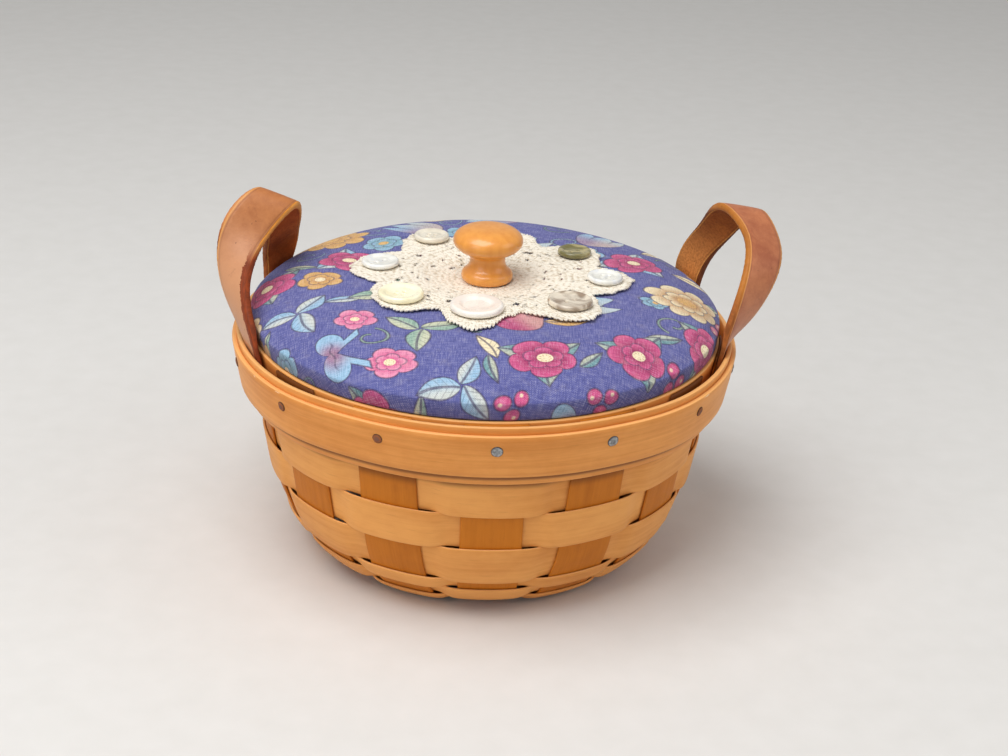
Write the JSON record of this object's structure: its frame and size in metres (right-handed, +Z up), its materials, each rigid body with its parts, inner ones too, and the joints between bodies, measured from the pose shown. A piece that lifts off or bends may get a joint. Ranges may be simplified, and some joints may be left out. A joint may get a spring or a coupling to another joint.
{
  "type": "lidded splint basket",
  "caption": "Round woven wood-splint basket with leather ear handles and a padded fabric-covered lid topped with a doily, buttons and a turned knob.",
  "frame": {"origin": "centre of the round foot, on the plane the basket stands on", "axes": "+Z up, -Y the front, +X towards the right ear handle"},
  "size_m": [0.2828, 0.2494, 0.1811],
  "materials": {
    "splint_wood": "amber stained maple splint, satin",
    "weaver_wood": "light honey maple splint, satin",
    "band_wood": "bent maple band, satin varnish",
    "tack_metal": "dull steel, some heads rusty",
    "strap_leather": "oiled harness leather, satin",
    "lining_card": "plain card",
    "board_wood": "plain plywood",
    "padding": "white wadding",
    "cover_fabric": "printed cotton on a violet-blue ground",
    "doily_thread": "ivory crochet cotton",
    "knob_wood": "turned maple, glossy varnish",
    "screw_metal": "plated steel",
    "white_button": "glossy white",
    "cream_button": "satin cream",
    "pearl_button": "pearly",
    "grey_button": "satin grey-white",
    "olive_button": "satin olive",
    "shell_button": "streaked shell"
  },
  "bodies": {
    "basket": {"splint_1": "splint_wood", "splint_2": "splint_wood", "splint_3": "splint_wood", "splint_4": "splint_wood", "splint_5": "splint_wood", "splint_6": "splint_wood", "splint_7": "splint_wood", "weaver_1_foot": "weaver_wood", "weaver_2": "weaver_wood", "weaver_3": "weaver_wood", "weaver_4_wide": "weaver_wood", "weaver_5_wide": "weaver_wood", "weaver_6_rim": "weaver_wood", "inner_band": "band_wood", "outer_band": "band_wood", "trim_band": "band_wood", "tack_01": "tack_metal", "tack_02": "tack_metal", "tack_03": "tack_metal", "tack_04": "tack_metal", "tack_05": "tack_metal", "tack_06": "tack_metal", "tack_07": "tack_metal", "tack_08": "tack_metal", "tack_09": "tack_metal", "tack_10": "tack_metal", "tack_11": "tack_metal", "tack_12": "tack_metal", "tack_13": "tack_metal", "tack_14": "tack_metal", "left_strap_front_end": "strap_leather", "left_strap_back_end": "strap_leather", "right_strap_front_end": "strap_leather", "right_strap_back_end": "strap_leather"},
    "left_ear": {"left_ear": "strap_leather"},
    "right_ear": {"right_ear": "strap_leather"},
    "lid": {"lid_lining": "lining_card", "lid_board": "board_wood", "lid_padding": "padding", "lid_cover": "cover_fabric", "doily": "doily_thread", "knob": "knob_wood", "knob_screw": "screw_metal", "button_front_white": "white_button", "button_front_left_cream": "cream_button", "button_left_pearl": "pearl_button", "button_back_left_grey": "grey_button", "button_back_ivory": "cream_button", "button_back_right_olive": "olive_button", "button_right_pearl": "pearl_button", "button_front_right_shell": "shell_button"}
  },
  "joints": [
    {"name": "lid_lift", "type": "slide", "parent": "basket", "child": "lid", "axis": [0, 0, 1], "range_m": [0, 0.08]},
    {"name": "left_ear_flex", "type": "hinge", "parent": "basket", "child": "left_ear", "pos_m": [-0.1243, 0, 0.1169], "axis": [0, -1, 0], "range_deg": [0, 52.5], "stiffness_Nm_per_rad": 0.1},
    {"name": "right_ear_flex", "type": "hinge", "parent": "basket", "child": "right_ear", "pos_m": [0.1243, 0, 0.1169], "axis": [0, 1, 0], "range_deg": [0, 52.5], "stiffness_Nm_per_rad": 0.1}
  ],
  "couplings": [
    {"joint": "left_ear_flex", "follows": "lid_lift", "rad_per_m": 11.345},
    {"joint": "right_ear_flex", "follows": "lid_lift", "rad_per_m": 11.345}
  ]
}
